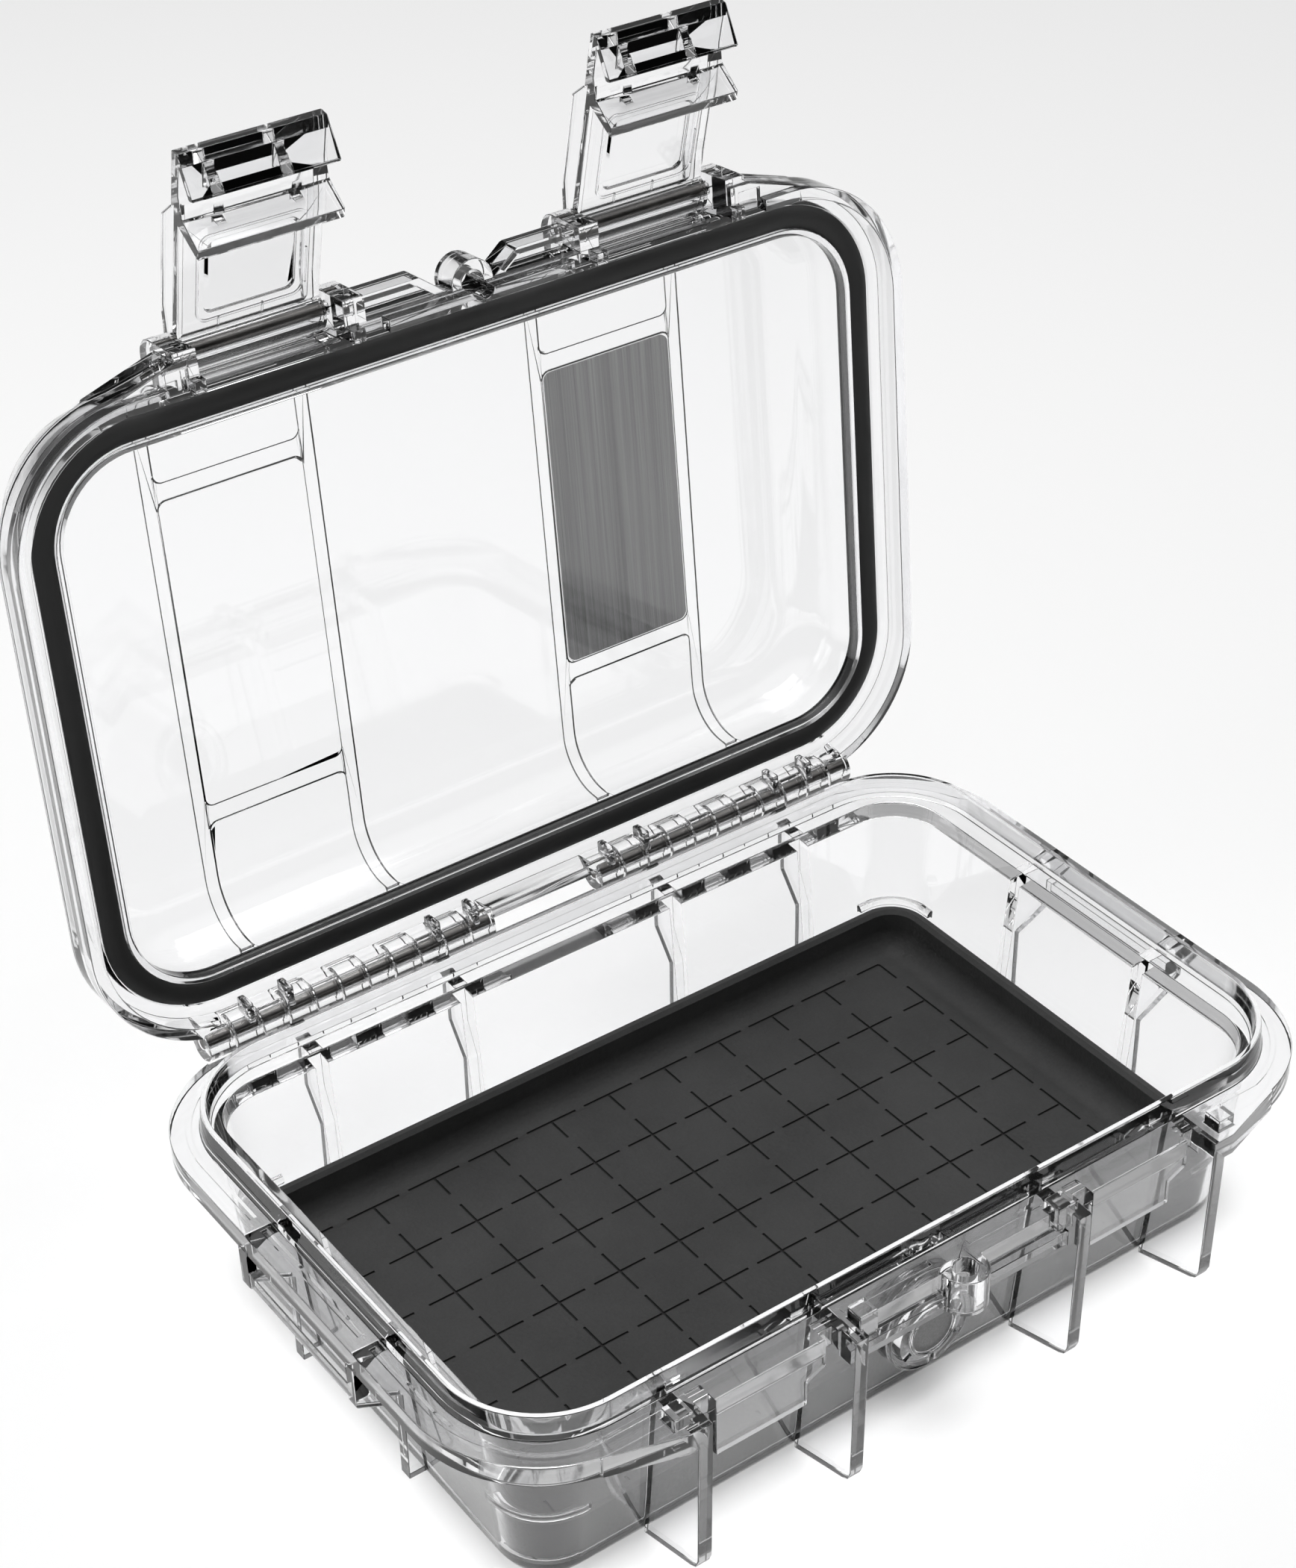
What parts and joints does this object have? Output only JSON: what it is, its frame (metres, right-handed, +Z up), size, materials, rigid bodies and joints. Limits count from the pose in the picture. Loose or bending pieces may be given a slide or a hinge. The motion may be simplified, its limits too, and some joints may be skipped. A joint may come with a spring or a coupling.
{
  "type": "waterproof hard case",
  "caption": "Small clear waterproof hard case with a hinged domed lid, pressed rubber seal, front latches and a rubber tray inside.",
  "frame": {"origin": "on the ground under the middle of the tub's flat bottom", "axes": "+X along the case's length to the right, -Y towards the latches, +Z up"},
  "size_m": [0.217, 0.1917, 0.2379],
  "materials": {
    "clear_base": "clear, polished",
    "clear_lid": "clear, polished",
    "clear_latch": "clear, polished",
    "liner_rubber": "fine grained, satin",
    "gasket_rubber": "matte",
    "plate_metal": "brushed along its length",
    "pin_steel": "drawn wire",
    "valve_plastic": "clear, polished",
    "membrane": "matte"
  },
  "bodies": {
    "base": {"base_shell": "clear_base", "base_liner": "liner_rubber", "left_hinge_pin": "pin_steel", "right_hinge_pin": "pin_steel", "valve_body": "valve_plastic", "valve_seal": "gasket_rubber", "valve_membrane": "membrane", "valve_retainer": "pin_steel"},
    "lid": {"lid_shell": "clear_lid", "lid_gasket": "gasket_rubber", "nameplate": "plate_metal", "left_latch_pin": "pin_steel", "right_latch_pin": "pin_steel"},
    "left_latch": {"left_latch": "clear_latch"},
    "right_latch": {"right_latch": "clear_latch"}
  },
  "joints": [
    {"name": "lid_hinge", "type": "hinge", "parent": "base", "child": "lid", "pos_m": [0, 0.0736, 0.0471], "axis": [1, 0, 0], "range_deg": [0, 95]},
    {"name": "left_latch_pivot", "type": "hinge", "parent": "lid", "child": "left_latch", "pos_m": [-0.0472, 0.09708, 0.19271], "axis": [1, 0, 0], "range_deg": [-30, 72]},
    {"name": "right_latch_pivot", "type": "hinge", "parent": "lid", "child": "right_latch", "pos_m": [0.0472, 0.09708, 0.19271], "axis": [1, 0, 0], "range_deg": [-30, 72]}
  ]
}
